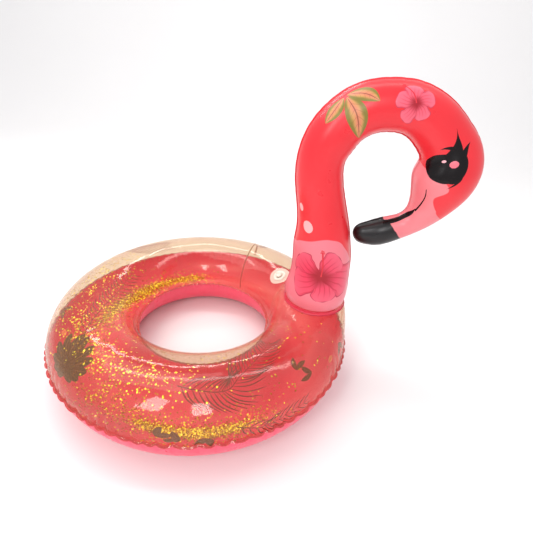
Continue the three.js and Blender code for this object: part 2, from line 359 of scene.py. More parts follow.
def add_piece(name, parts, material, body=None, replaces=(), closed=True, sharp=180):
    """One mesh object made of one or more grids. Doubled points at poles are joined.
    A closed piece gets its faces turned outwards; sharp is the angle in degrees above which edges show."""
    point_lists, face_lists, value_lists = zip(*parts)
    offsets = np.cumsum([0] + [len(points) for points in point_lists])
    faces = np.concatenate([faces + offset for faces, offset in zip(face_lists, offsets)])
    mesh = bpy.data.meshes.new(name)
    mesh.from_pydata(np.concatenate(point_lists).tolist(), [], faces.tolist())
    for index, key in enumerate(("along", "across", "tone")):
        stored = np.concatenate([values[index] for values in value_lists]).astype(np.float32)
        mesh.attributes.new(key, "FLOAT", "POINT").data.foreach_set("value", stored)
    work = bmesh.new()
    work.from_mesh(mesh)
    bmesh.ops.remove_doubles(work, verts=work.verts, dist=2e-6)
    if closed:
        bmesh.ops.recalc_face_normals(work, faces=work.faces)
    work.to_mesh(mesh)
    work.free()
    mesh.polygons.foreach_set("use_smooth", np.full(len(mesh.polygons), sharp > 0))
    if 0 < sharp < 180:
        mesh.set_sharp_from_angle(angle=np.radians(sharp))
    mesh.materials.append(material)
    piece = bpy.data.objects.new(name, mesh)
    bpy.context.scene.collection.objects.link(piece)
    if body:
        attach(piece, body)
    if replaces:
        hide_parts(*replaces)
    return piece


def film_sheet(outer, inner):
    """A film of real thickness as one grid that runs over its outer face and back over its inner face."""
    return np.concatenate([outer, inner[:, ::-1]], 1)


def bunched(count, crowding):
    """Columns from 0 to 1, closer together near both ends: x - crowding sin(2 pi x) / 2 pi."""
    x = np.linspace(0, 1, count)[None, :]
    return np.clip(x - crowding * np.sin(2 * np.pi * x) / (2 * np.pi), 1e-4, 1 - 1e-4)


def ring_film(side):
    """One half of the tube, side 1 for the upper and -1 for the lower. Columns stand closer together near
    the seams, where the puckers are. The first and last columns are the welded lips."""
    azimuth = np.linspace(0, 2 * np.pi, outer_folds * 8, endpoint=False)[:, None]
    section = side * np.pi * bunched(44, 0.6)
    level = seam_height + seam_line(azimuth)
    outwards = np.stack([np.cos(azimuth), np.sin(azimuth), 0 * azimuth], -1)
    layers = []
    for inset in (0, film_thickness):
        layer = lifted(ring_surface, azimuth, section, -inset)
        clear = weld_gap / 2 + film_thickness - inset
        beyond = side * (layer[..., 2] - level)
        layer[..., 2] = level + side * np.where(beyond < seam_zone, np.maximum(beyond, clear), beyond)
        outer_lip = layer[:, :1] + outwards * (weld_lip + inset)
        inner_lip = layer[:, -1:] - outwards * (weld_lip + inset)
        layers.append(np.concatenate([outer_lip, layer, inner_lip], 1))
    return grid_part(film_sheet(*layers), round_rows=True, round_columns=True)


def vinyl_gloss(start, shader, patches, grain):
    """The finish of soft vinyl: uneven gloss in patches, and a very slight orange-peel bump."""
    link(noise(start, patches) * 0.12 + 0.24, shader, "Roughness")
    bumps = start.node("Bump", {}, {"Strength": 0.12, "Distance": 0.002, "Height": noise(start, grain, 3.0)})
    link(bumps, shader, "Normal")


def vinyl_material(name, base, dark):
    """Soft glossy vinyl with a faint cloudy change of colour."""
    material, start, shader = new_material(name)
    clouds = noise(start, 9.0).step(0.3, 0.7)
    link(clouds.mixed(colour(*dark), colour(*base)), shader, "Base Color")
    vinyl_gloss(start, shader, 30.0, 60.0)
    return material


pink_film = vinyl_material("pink_film", pink_vinyl, pink_shade)
add_piece("ring_lower_film", [ring_film(-1)], pink_film, "ring", ["ring_bottom_panel"])


# ---- Upper ring film ----
# The upper half of the air tube: clear vinyl film with a warm tint, smooth and glossy. It is welded to
# the lower film along the outer and the inner seam and drawn up to a level round patch under the neck.

clear_tint = (246, 239, 229)
clear_haze = (236, 200, 178)
pale_haze = (241, 205, 183)
pure_white = (255, 255, 255)
haze_share = 0.006
grazing_haze = 0.12
mirror_share = 0.026


def show(material, surface):
    """Puts a mixed shader on the material's output in place of the plain one."""
    output = material.node_tree.nodes["Material Output"]
    material.node_tree.links.new(surface.socket, output.inputs["Surface"])


def clear_material(name, tint, share, grazing, roughness):
    """Clear vinyl: light goes straight through, tinted, except for a share that meets a milky skin and a
    share that is mirrored. Both shares grow towards grazing angles."""
    material, start, shader = new_material(name)
    link(noise(start, 5.0).mixed(colour(*clear_haze), colour(*pale_haze)), shader, "Base Color")
    shader.inputs["Roughness"].default_value = 0.5
    facing = start.node("LayerWeight", {}, {"Blend": 0.5}, 1)
    milky = (facing ** 3.0) * grazing + share + noise(start, 22.0).step(0.35, 0.75) * (share * 0.6)
    mirrored = (facing ** 5.0) * 0.5 + mirror_share
    through = start.node("BsdfTransparent", {}, {"Color": colour(*tint)})
    waves = start.node("Bump", {}, {"Strength": 0.35, "Distance": 0.006, "Height": noise(start, 14.0, 3.0)})
    link(waves, shader, "Normal")
    gloss = start.node("BsdfGlossy", {}, {"Color": colour(*pure_white), "Roughness": roughness,
                                          "Normal": waves})
    skin = start.node("MixShader", {}, {0: milky, 1: through, 2: Wire(start.tree, shader.outputs[0])})
    show(material, start.node("MixShader", {}, {0: mirrored, 1: skin, 2: gloss}))
    return material


clear_film = clear_material("clear_film", clear_tint, haze_share, grazing_haze, 0.1)
add_piece("ring_upper_film", [ring_film(1)], clear_film, "ring", ["ring_top_panel"])


# ---- Joint of the upper film ----
# The film is joined into a ring by one narrow lap weld at the back left of the neck, running across the
# tube from seam to seam. It is the same clear film, doubled, so it looks a little darker.

joint_azimuths = np.radians((73.0, 60.983))
joint_half_width = 0.0022
joint_tint = (226, 206, 184)

x = np.linspace(0.03, 0.97, 60)[:, None]
across = np.array([-1.0, -0.8, 0.8, 1.0, 0.8, -0.8])[None, :]
above = np.array([0.00005, 0.0003, 0.0003, 0.00005, 0.00003, 0.00003])[None, :] + 0 * x
joint_azimuth = joint_azimuths[0] + (joint_azimuths[1] - joint_azimuths[0]) * x
joint_points = lifted(ring_surface, joint_azimuth + across * joint_half_width / ring_radius,
                      np.pi * x + 0 * across, above)
joint_film = clear_material("joint_film", joint_tint, 0.05, 0.2, 0.12)
add_piece("ring_film_joint", [grid_part(joint_points, round_columns=True)], joint_film, "ring")


# ---- Loose glitter ----
# Thousands of loose six-sided flakes of gold foil inside the tube. Most lie in two drifts on the lower
# film, at the front and at the back left; others cling to the inside of both films. The brighter flakes
# glow faintly gold, a painted glint.

flake_radius = 0.0017
flake_thickness = 0.00012
gold = (255, 236, 70)
old_gold = (190, 120, 30)
random = np.random.default_rng(7)


def flakes(count, azimuths, sections, spreads, lift, tilt):
    """Flakes as flat six-sided double pyramids. They are spread evenly between two azimuths and between
    two sections, then scattered by a bell curve; each one is turned and tilted at random."""
    spots = []
    for ends, spread in zip((azimuths, sections), spreads):
        even = random.uniform(*np.radians(ends), count)
        spots.append(even + np.radians(spread) * random.normal(size=count))
    small = 1e-4
    azimuth, section = spots
    depth = lift * (0.5 + 2.2 * random.random(count) ** 2)
    centre = lifted(ring_surface, azimuth, section, -depth)
    first = ring_surface(azimuth + small, section) - ring_surface(azimuth, section)
    second = ring_surface(azimuth, section + small) - ring_surface(azimuth, section)
    first /= np.linalg.norm(first, axis=-1, keepdims=True)
    second /= np.linalg.norm(second, axis=-1, keepdims=True)
    normal = np.cross(first, second)
    lean = tilt * random.normal(size=(2, count, 1))
    up = normal + lean[0] * first + lean[1] * second
    up /= np.linalg.norm(up, axis=-1, keepdims=True)
    across = np.cross(up, first)
    across /= np.linalg.norm(across, axis=-1, keepdims=True)
    ahead = np.cross(across, up)
    size = flake_radius * random.uniform(0.6, 1.35, (count, 1))
    angle = random.uniform(0, np.pi, (count, 1)) + np.arange(6) * np.pi / 3
    rim = (centre[:, None] + size[..., None] * (np.cos(angle)[..., None] * ahead[:, None]
           + np.sin(angle)[..., None] * across[:, None]))
    top = centre[:, None] + up[:, None] * flake_thickness
    bottom = centre[:, None] - up[:, None] * flake_thickness
    points = np.concatenate([rim, top, bottom], 1).reshape(-1, 3)
    corner = np.arange(6)
    after = (corner + 1) % 6
    fan = np.concatenate([np.stack([corner, after, 0 * corner + 6], -1),
                          np.stack([after, corner, 0 * corner + 7], -1)])
    faces = (np.arange(count)[:, None, None] * 8 + fan).reshape(-1, 3)
    tone = np.repeat(random.random(count), 8)
    return points, faces, [0 * tone, 0 * tone, tone]


glitter, start, shader = new_material("glitter")
tone = reading(start, "tone")
foil = tone.step(0.15, 0.75).mixed(colour(*old_gold), colour(*gold))
link(foil, shader, "Base Color")
# Painted glint: the brighter flakes glow gold by themselves through emission, though they are no lamp.
link(tone.step(0.5, 1.0).mixed(colour(0, 0, 0), colour(*gold)), shader, "Emission Color")
link(0.3 - 0.12 * tone, shader, "Roughness")
shader.inputs["Metallic"].default_value = 0.6
shader.inputs["Emission Strength"].default_value = 0.5
front_flakes = [
    flakes(3600, (-104, -66), (-87, -83), (7, 3.5), 0.0018, 0.4),
    flakes(1300, (-140, -45), (-100, -66), (6, 12), 0.0006, 0.3),
    flakes(520, (-152, -88), (60, 82), (5, 9), 0.0005, 0.12),
    flakes(300, (-150, -20), (40, 130), (4, 10), 0.0005, 0.12),
]
rear_flakes = [
    flakes(1900, (132, 168), (-70, -58), (5, 5), 0.0016, 0.4),
    flakes(1000, (104, 140), (-60, -54), (5, 4), 0.001, 0.4),
    flakes(1300, (100, 235), (-86, -40), (6, 12), 0.0006, 0.3),
    flakes(900, (150, 235), (50, 130), (6, 14), 0.0005, 0.12),
]
add_piece("glitter_front", front_flakes, glitter, "ring", ["ring_glitter_front"], sharp=0)
add_piece("glitter_rear", rear_flakes, glitter, "ring", ["ring_glitter_rear"], sharp=0)


# ---- Prints on the ring ----
# Leaves printed on the inner face of the clear film: four thin palm fronds, a large split leaf, small
# olive and brown leaves, and a few soft orange blotches. They are ink, so they are thin.

print_depth = 0.0005
brown_ink = (122, 50, 42)
light_brown_ink = (150, 66, 50)
olive_ink = (104, 72, 34)
tan_ink = (150, 62, 44)
vein_ink = (158, 108, 60)
orange_ink = (240, 122, 76)
light_orange_ink = (244, 140, 88)
rib_steps = 80


def ring_print_surface(u, v):
    """The ring's film measured in metres: u along the ring's middle circle, v in from the outer seam."""
    return ring_surface(u / ring_radius, v / tube_half_width)


def on_ring(*spots):
    """Places on the upper film given in degrees (round the ring, in from the outer seam), as metres u, v."""
    return np.radians(np.array(spots, float)) * (ring_radius, tube_half_width)


def curve_through(points, count):
    """A smooth curve through a few points: cubic Hermite pieces, with slopes from neighbour to
    neighbour."""
    points = np.asarray(points, float)
    slopes = np.gradient(points, axis=0)
    place = np.linspace(0, len(points) - 1, count)
    first = np.minimum(place.astype(int), len(points) - 2)
    t = (place - first)[:, None]
    a, b, slope_a, slope_b = points[first], points[first + 1], slopes[first], slopes[first + 1]
    return (a * (2 * t**3 - 3 * t**2 + 1) + slope_a * (t**3 - 2 * t**2 + t)
            + b * (3 * t**2 - 2 * t**3) + slope_b * (t**3 - t**2))


def blade(surface, path, widths, lift, tone=0.5, rows=None, columns=5):
    """A printed strip along a flat path, drawn on a film. widths gives its half width at each row; across
    runs from -1 to 1, along from 0 to 1. Its rim is tucked into the film."""
    rows = rows or max(6, len(path) * 3)
    line = curve_through(path, rows)
    heading = np.gradient(line, axis=0)
    heading /= np.maximum(np.linalg.norm(heading, axis=1, keepdims=True), 1e-9)
    along = np.linspace(0, 1, rows)
    across = np.linspace(-1, 1, columns)
    reach = widths(along)[:, None] * across[None, :]
    u = line[:, :1] - heading[:, 1:] * reach
    v = line[:, 1:] + heading[:, :1] * reach
    height = np.where(np.abs(across) > 0.99, 0.3, 1.0)[None, :] * lift + 0 * u
    return grid_part(lifted(surface, u, v, height), along[:, None] + 0 * u, across[None, :] + 0 * u, tone)


def outline_print(surface, outline, centre, lift, tone=0.5, rings=8, count=120, smoothing=True):
    """A printed shape inside a closed outline: rings that shrink from the outline to a centre. across is
    0 at the centre and 1 at the rim, along is the way round."""
    outline = np.array([*outline, outline[0], outline[1]], float)
    if smoothing:
        line = curve_through(np.concatenate([outline[-3:-2], outline]), len(outline) * 12 + 1)[12:-12]
        line = line[np.linspace(0, len(line) - 1, count, endpoint=False).astype(int)]
    else:
        line = outline[:-2]
    share = np.linspace(1, 0, rings)
    spots = np.array(centre) + (line[:, None] - np.array(centre)) * share[None, :, None]
    height = np.where(share > 0.99, 0.3, 1.0)[None, :] * lift + 0 * spots[..., 0]
    points = lifted(surface, spots[..., 0], spots[..., 1], height)
    along = np.linspace(0, 1, len(line))[:, None] + 0 * share[None, :]
    return grid_part(points, along, share[None, :] + 0 * along, tone, round_rows=True)


def disc(surface, centre, radius, lift, tone=0.5, squeeze=1.0):
    """A printed round or oval spot."""
    angle = np.linspace(0, 2 * np.pi, 20, endpoint=False)
    outline = np.array(centre) + radius * np.stack([np.cos(angle) * squeeze, np.sin(angle)], -1)
    return outline_print(surface, outline, centre, lift, tone, 4, smoothing=False)


def leaf_width(half_width, fullness=0.8):
    """Half widths of a leaf: (sin pi t)^fullness times half_width, pointed at both ends."""
    return lambda t: half_width * np.sin(np.pi * np.clip(t, 0.004, 0.996)) ** fullness


def frond(rib, leaflets, reach, ink_width, tone):
    """A palm frond: a thin rib and pairs of narrow leaflets that lean towards its tip."""
    rib_line = curve_through(rib, rib_steps)
    heading = np.gradient(rib_line, axis=0)
    heading /= np.linalg.norm(heading, axis=1, keepdims=True)
    parts = [blade(ring_print_surface, rib, lambda t: ink_width * (1.1 - 0.8 * t), -print_depth, tone, 40, 3)]
    for number in range(leaflets):
        t = (number + 0.7) / (leaflets + 0.4)
        step = int(t * (rib_steps - 1))
        root = rib_line[step]
        ahead = heading[step]
        length = reach * (0.55 + 0.45 * np.sin(np.pi * (0.15 + 0.8 * t)))
        for side in (-1, 1):
            aside = np.array([-ahead[1], ahead[0]]) * side
            bend = root + length * (0.42 * aside + 0.34 * ahead)
            tip = root + length * (0.72 * aside + 0.86 * ahead)
            parts.append(blade(ring_print_surface, [root, bend, tip], leaf_width(ink_width * 1.15, 0.6),
                               -print_depth, tone, 9, 3))
    return parts


def lobe_width(reach):
    """Half widths of a lobe: a quarter at its root, full from the middle on, with a blunt round end."""
    return lambda t: (reach * 0.15 * (0.25 + 0.75 * smooth(t, 0.1, 0.5))
                      * (1 - np.clip(t, 0, 0.995) ** 6) ** 0.6)


def split_leaf(heart, lobes, reach, tone):
    """A split leaf: long lobes fanned out round the heart of the leaf, with notches between their ends."""
    parts = []
    for number in range(lobes):
        spread = np.radians(-155 + 310 * number / (lobes - 1))
        length = reach * (0.74 + 0.26 * np.cos(spread))
        ahead = np.array([np.cos(spread + 1.9), np.sin(spread + 1.9)])
        aside = np.array([-ahead[1], ahead[0]]) * np.sign(spread + 1e-6)
        path = [heart, heart + 0.5 * length * ahead, heart + length * (ahead - 0.16 * aside)]
        parts.append(blade(ring_print_surface, path, lobe_width(reach), -print_depth, tone, 16, 5))
    parts.append(disc(ring_print_surface, heart, 0.3 * reach, -print_depth * 1.3, tone))
    return parts


def small_leaves(roots, length, half_width, tone):
    """Pairs of plain pointed leaves, each pair turned further than the one before."""
    parts = []
    for number, root in enumerate(roots):
        for side in (-0.5, 0.55):
            angle = 0.7 + 1.9 * number + side
            ahead = np.array([np.cos(angle), np.sin(angle)])
            aside = np.array([-ahead[1], ahead[0]])
            path = [root, root + 0.5 * length * ahead + 0.08 * length * aside, root + length * ahead]
            parts.append(blade(ring_print_surface, path, leaf_width(half_width), -print_depth, tone, 12, 5))
    return parts


def ink_material(name, dark, light, vein, roughness=0.35, gloss=0.5):
    """Printed ink in two shades: tone picks the shade, the middle vein and fine side veins are vein."""
    material, start, shader = new_material(name)
    tone, along, across = (reading(start, key) for key in ("tone", "along", "across"))
    side = start.maths("ABSOLUTE", across)
    ribs = start.maths("SINE", (along * 46.0) - (side * 9.0))
    veins = start.maths("MAXIMUM", 1.0 - side.step(0.03, 0.1), ribs.step(0.86, 0.99) * 0.55)
    shade = (tone + noise(start, 60.0) * 0.3 - 0.15).mixed(colour(*dark), colour(*light))
    link(veins.mixed(shade, colour(*vein)), shader, "Base Color")
    link(noise(start, 80.0) * 0.1 + roughness, shader, "Roughness")
    shader.inputs["Specular IOR Level"].default_value = gloss
    return material


frond_ink = ink_material("frond_ink", brown_ink, light_brown_ink, brown_ink)
fronds = (
    frond(on_ring((-88.5, 68), (-80.5, 63), (-74.5, 60), (-70.5, 62), (-66.5, 72), (-60, 83), (-51, 96),
                  (-46, 104)), 27, 0.056, 0.001, 0.4)
    + frond(on_ring((-70, 20), (-63, 11), (-59.5, 10), (-52.5, 12), (-44.5, 14)), 12, 0.028, 0.001, 0.5)
    + frond(on_ring((-135.5, 75), (-152, 105), (-174, 124), (-200, 123)), 18, 0.045, 0.001, 0.45)
    + frond(on_ring((-212, 70), (-222, 88), (-236, 96)), 13, 0.04, 0.001, 0.5)
)
add_piece("ring_print_fronds", fronds, frond_ink, "ring", closed=False)

leaf_ink = ink_material("leaf_ink", olive_ink, tan_ink, vein_ink)
leaves = (
    split_leaf(on_ring((-131, 44))[0], 12, 0.068, 0.1)
    + small_leaves(on_ring((-93, 13), (-86, 10), (-79, 12)), 0.024, 0.006, 0.35)
    + small_leaves(on_ring((-45, 54), (-39.5, 41), (-18, 32)), 0.028, 0.0055, 0.55)
    + small_leaves(on_ring((-160, 55), (-188, 40), (30, 60), (60, 70)), 0.03, 0.006, 0.5)
)
add_piece("ring_print_leaves", leaves, leaf_ink, "ring", closed=False)

blotch_ink = ink_material("blotch_ink", orange_ink, light_orange_ink, orange_ink)
blotches = [blade(ring_print_surface, [spot, spot + (0.008, 0.004), spot + (0.017, 0.003)],
                  leaf_width(0.006, 0.6), -print_depth, 0.5, 12, 5)
            for spot in on_ring((-29.5, 31), (-146.5, 56), (150, 60))]
add_piece("ring_print_blotches", blotches, blotch_ink, "ring", closed=False)


# ---- Ring valve ----
# A push-in air valve of clear soft vinyl on the inner shoulder of the tube, beside the neck. A round
# patch is welded to the film; flange, stem, plug, strap and check flap are moulded. It is pressed in.

valve_azimuth = 30.0
valve_section = 117.7
valve_tint = (240, 226, 206)
valve_pale = (250, 242, 230)
valve_clear = (250, 244, 236)
valve_sides = 48
stem_depth = 0.0155
strap_steps = 28
hinge_ahead = -0.0062
hinge_below = 0.0161
joints = {joint["name"]: joint for joint in frame["joints"]}


class Place:
    """A valve's spot on a film. Its point and directions come from the record's joints: the stem slides
    outwards, and the flap's hinge line runs aside of it. u and v are where the film comes nearest."""

    def __init__(self, name, surface, u, v, turned_over=1):
        small = 1e-4
        hinge = joints[f"{name}_flap_hinge"]
        self.out = np.array(joints[f"{name}_stem_slide"]["axis"])
        self.aside = np.array(hinge["axis"])
        self.ahead = np.cross(self.aside, self.out)
        self.origin = np.array(hinge["pos_m"]) - hinge_ahead * self.ahead + hinge_below * self.out
        self.surface = surface
        self.turned_over = turned_over
        for _ in range(6):
            here = surface(u, v)
            step_u = (surface(u + small, v) - here) / small
            step_v = (surface(u, v + small) - here) / small
            u += np.dot(self.origin - here, step_u) / np.dot(step_u, step_u)
            v += np.dot(self.origin - here, step_v) / np.dot(step_v, step_v)
        self.u = u
        self.v = v
        self.per_u = np.linalg.norm(step_u)
        self.per_v = np.linalg.norm(step_v)

    def in_space(self, x, y, z):
        """Points at x, y, z from the spot, in its own straight directions."""
        return self.origin + sum(np.asarray(c)[..., None] * axis
                                 for c, axis in ((x, self.ahead), (y, self.aside), (z, self.out)))

    def on_film(self, x, y, z):
        """Points x, y along the curved film from the spot and z above it."""
        v = self.v + np.asarray(y) * self.turned_over / self.per_v
        return lifted(self.surface, self.u + np.asarray(x) / self.per_u, v, z * self.turned_over)


def lathe(place, profile):
    """A closed profile of (radius, height) corners turned about a place's outward direction."""
    angle = np.linspace(0, 2 * np.pi, valve_sides, endpoint=False)[:, None]
    radius = profile[None, :, 0]
    height = profile[None, :, 1] + 0 * angle
    points = place(radius * np.cos(angle), radius * np.sin(angle), height)
    return grid_part(points, along=height, across=radius + 0 * angle, round_rows=True, round_columns=True)


def rounded(profile, radius):
    """A closed profile in metres with its corners cut into small arcs, as quadratic curves of 3 points."""
    profile = np.array(profile, float)
    points = []
    for before, corner, after in zip(np.roll(profile, 1, 0), profile, np.roll(profile, -1, 0)):
        if corner[0] < 1e-6:
            points.append(corner)
            continue
        ends = [corner + (other - corner) * min(0.45, radius / max(np.linalg.norm(other - corner), 1e-9))
                for other in (before, after)]
        for t in (0, 0.5, 1):
            points.append((1 - t) ** 2 * ends[0] + 2 * t * (1 - t) * corner + t**2 * ends[1])
    return np.array(points)


def valve_material(name, milky):
    """Moulded soft vinyl, milky and glossy; milky is how much of the light its body stops."""
    material, start, shader = new_material(name)
    body = (noise(start, 90.0) * 0.5 + reading(start, "along") * 20.0).mixed(
        colour(*valve_tint), colour(*valve_pale))
    link(body, shader, "Base Color")
    shader.inputs["Roughness"].default_value = 0.22
    through = start.node("BsdfTransparent", {}, {"Color": colour(*valve_clear)})
    facing = start.node("LayerWeight", {}, {"Blend": 0.5}, 1)
    stopped = (facing ** 2.0) * (1 - milky) * 0.6 + milky
    body = Wire(start.tree, shader.outputs[0])
    show(material, start.node("MixShader", {}, {0: stopped, 1: through, 2: body}))
    return material


patch_vinyl = valve_material("valve_patch", 0.45)
moulded_vinyl = valve_material("valve_moulded", 0.8)


def strap_part(spot):
    """The plug's strap: a flat band with rounded edges, looped from the cap's edge down to the stem and
    closed to a point at both ends."""
    bends = np.array([[8.1, 5.1], [11.5, 6.4], [14.6, 5.7], [15.2, 4.3], [12.8, 3.3], [8.3, 3.3]]) / 1000
    path = curve_through(bends, strap_steps)
    heading = np.gradient(path, axis=0)
    heading /= np.linalg.norm(heading, axis=1, keepdims=True)
    turn_angle = np.linspace(0, 2 * np.pi, 12, endpoint=False)
    wide = 0.002 * np.sign(np.cos(turn_angle)) * np.abs(np.cos(turn_angle)) ** 0.4
    thick = 0.00045 * np.sign(np.sin(turn_angle)) * np.abs(np.sin(turn_angle)) ** 0.6
    ends = np.r_[0.0, np.ones(strap_steps - 2), 0.0][:, None]
    x = path[:, :1] - heading[:, 1:] * thick * ends
    z = path[:, 1:] + heading[:, :1] * thick * ends
    return grid_part(spot.in_space(x, wide * ends + 0 * x, z), along=z, round_columns=True)


def add_valve(name, spot, film_body):
    """All seven pieces of one valve, each as a turned profile, except for the strap, which is a band.
    The patch and the flange follow the film; the skirt and the strap stay fixed."""
    patch = rounded([(0.0112, 0.0006), (0.03, 0.0006), (0.03, 0.0011), (0.029, 0.0013), (0.0112, 0.0013)],
                    0.0002)
    flange = rounded([(0.0101, 0.0014), (0.018, 0.0014), (0.018, 0.0024), (0.0165, 0.0028),
                      (0.0101, 0.0028)], 0.0004)
    skirt = rounded([(0.0101, 0.0022), (0.0094, -0.005), (0.0082, -0.0095), (0.0075, -0.0101),
                     (0.0072, -0.0095), (0.0077, -0.0091), (0.0087, -0.0048), (0.0093, 0.0022)], 0.0006)
    stem = rounded([(0.0047, -stem_depth), (0.007, -stem_depth), (0.007, 0.0025), (0.0085, 0.0025),
                    (0.0085, 0.004), (0.0047, 0.004)], 0.0005)
    plug = rounded([(0, -0.006), (0.0036, -0.006), (0.0044, -0.005), (0.0044, 0.0043), (0.008, 0.0043),
                    (0.008, 0.0059), (0.0064, 0.0061), (0.006, 0.0055), (0, 0.0055)], 0.0005)
    flap = rounded([(0, -0.0164), (0.0058, -0.0164), (0.0058, -0.0158), (0, -0.0158)], 0.0002)
    pieces = (
        ("patch", [lathe(spot.on_film, patch)], film_body, patch_vinyl),
        ("flange", [lathe(spot.on_film, flange)], film_body, moulded_vinyl),
        ("skirt", [lathe(spot.in_space, skirt)], None, moulded_vinyl),
        ("stem", [lathe(spot.in_space, stem)], f"{name}_stem", moulded_vinyl),
        ("plug", [lathe(spot.in_space, plug)], f"{name}_plug", moulded_vinyl),
        ("strap", [strap_part(spot)], None, moulded_vinyl),
        ("flap", [lathe(spot.in_space, flap)], f"{name}_flap", moulded_vinyl),
    )
    shapes = {piece: add_piece(f"{name}_{piece}_soft", parts, material, body, [f"{name}_{piece}"],
                               sharp=40)
              for piece, parts, body, material in pieces}
    skirt_ends = [spot.in_space(0, 0, height) for height in (0.0022, -0.0095)]
    strap_ends = [spot.in_space(0, 0, height) for height in (0.0033, 0.0054)]
    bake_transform(shapes["skirt"])
    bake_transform(shapes["strap"])


add_valve("ring_valve", Place("ring_valve", ring_surface, *np.radians([valve_azimuth, valve_section])),
          "ring")


# ---- Collar ----
# A dark coral band of vinyl welded between the ring's film and the neck. It is round, about a
# centimetre high and a little gathered.

collar_low, collar_high = (np.array(corner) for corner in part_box("neck_collar"))
collar_radius = 0.0752
collar_foot_width = 0.0036
collar_height = 0.0092
collar_gather = 0.0006
collar_vinyl = (232, 56, 80)
collar_dark = (196, 34, 60)


def about_foot(angle, radius, height):
    """Points on level circles round the middle of the neck's foot."""
    return np.stack([neck_foot[0] + radius * np.cos(angle), neck_foot[1] + radius * np.sin(angle),
                     height + 0 * angle], -1)


angle = np.linspace(0, 2 * np.pi, 240, endpoint=False)[:, None]
height = np.array([0.0, 0.0, 0.0006, 0.0011, 0.0022, 0.0042, 0.0064, 0.0078, 0.0088, collar_height, 0.0088,
                   0.0006, 0.0004])[None, :]
offset = np.array([-0.0008, 1.0, 1.02, 0.75, 0.3, 0.16, 0.24, 0.34, 0.22, 0.05, -0.06, -0.08, -0.1])[None, :]
waves = np.sin(26 * angle + 2.0 * np.sin(3 * angle)) * np.sin(np.pi * height / collar_height)
radius = collar_radius + collar_foot_width * offset + collar_gather * waves
collar_points = about_foot(angle, radius, collar_low[2] + height)
collar_material, start, shader = new_material("collar_vinyl")
height_here = reading(start, "along")
lower_line = 1.0 - height_here.step(0.0014, 0.003)
upper_line = height_here.step(0.0072, 0.0084) * 0.6
line = start.maths("MAXIMUM", lower_line, upper_line) * 0.8 + noise(start, 40.0) * 0.15
link(line.mixed(colour(*collar_vinyl), colour(*collar_dark)), shader, "Base Color")
link(noise(start, 50.0) * 0.1 + 0.28, shader, "Roughness")
collar_part = grid_part(collar_points, along=height + 0 * angle, round_rows=True, round_columns=True)
collar = add_piece("neck_collar_soft", [collar_part], collar_material, None, ["neck_collar"])
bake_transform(collar)


# ---- Neck and head film ----
# Two mirrored panels of coral vinyl, welded along the back and the throat into one curved air chamber,
# with a round film that closes its foot. The print goes on before welding: a pale pink base, a pale
# pink face, the black end of the beak. Small creases run in from the weld where the neck bends.

# Back and throat outlines in the plane the neck stands in, as matching corners from the foot to the
# beak: millimetres forwards from the ring's middle and up from its seams.
neck_outlines = [
    [(214, 111.1), (362, 111.1)],
    [(211, 130), (365, 130)],
    [(216, 160), (364, 158)],
    [(221, 191), (361, 192)],
    [(221, 225), (358, 226)],
    [(219, 262), (350, 266)],
    [(221, 300), (340, 306)],
    [(212, 370), (316, 380)],
    [(203, 443), (302, 440)],
    [(208, 487), (304, 461)],
    [(224, 530), (314, 480)],
    [(250, 566), (326, 500)],
    [(284, 595), (342, 514)],
    [(325, 613), (360, 522)],
    [(370, 620), (381, 525)],
    [(415, 619), (403, 524)],
    [(460, 606), (423, 516)],
    [(500, 584), (440, 502)],
    [(535, 555), (454, 486)],
    [(563, 527), (459, 474)],
    [(588, 465), (454, 452)],
    [(586, 433), (453, 441)],
    [(556, 372), (460, 403)],
    [(508, 322), (460, 366)],
    [(475, 300), (450, 352)],
    [(440, 281), (430, 343)],
    [(408, 270), (400, 333)],
    [(380, 271), (375, 322)],
    [(360, 281), (360, 314)],
    [(351, 294), (352, 306)],
]
neck_sideways = 0.92
narrowing_length = 0.12
map_stretch = 0.96
neck_lip = 0.0024
throat_crease_depth = 0.0008
back_crease_depth = 0.0006
crease_reach = 0.02
crease_step = 0.021
tip_length = 0.005
tip_closed = 0.998


def natural_spline(knots, values, places):
    """A curve of cubic pieces through values at knots, with no bend at its ends, read at places."""
    gaps = np.diff(knots)
    count = len(knots)
    system = np.eye(count)
    bends = np.zeros_like(values)
    for i in range(1, count - 1):
        system[i, i - 1:i + 2] = gaps[i - 1], 2 * (gaps[i - 1] + gaps[i]), gaps[i]
        bends[i] = 6 * ((values[i + 1] - values[i]) / gaps[i] - (values[i] - values[i - 1]) / gaps[i - 1])
    bends = np.linalg.solve(system, bends)
    left = np.clip(np.searchsorted(knots, places, side="right") - 1, 0, count - 2)
    gap = gaps[left][:, None]
    a = (knots[left + 1] - places)[:, None] / gap
    b = 1 - a
    cubic = ((a**3 - a) * bends[left] + (b**3 - b) * bends[left + 1]) * gap**2 / 6
    return a * values[left] + b * values[left + 1] + cubic


corners = np.array(neck_outlines) / 1000
middles = corners.mean(1)
knots = np.r_[0, np.cumsum(np.linalg.norm(np.diff(middles, axis=0), axis=1))]
places = np.linspace(0, knots[-1], 1400)
edge_points = natural_spline(knots, corners.reshape(-1, 4), places).reshape(-1, 2, 2)
middle_line = edge_points.mean(1)
neck_run = np.r_[0, np.cumsum(np.linalg.norm(np.diff(middle_line, axis=0), axis=1))]
neck_length = neck_run[-1]
half_widths = np.linalg.norm(edge_points[:, 0] - edge_points[:, 1], axis=1) / 2
to_back = (edge_points[:, 0] - edge_points[:, 1]) / (2 * half_widths[:, None])


def along_neck(table, run):
    """A value tabled along the neck, read at the given runs from the foot."""
    return np.interp(run, neck_run, table)


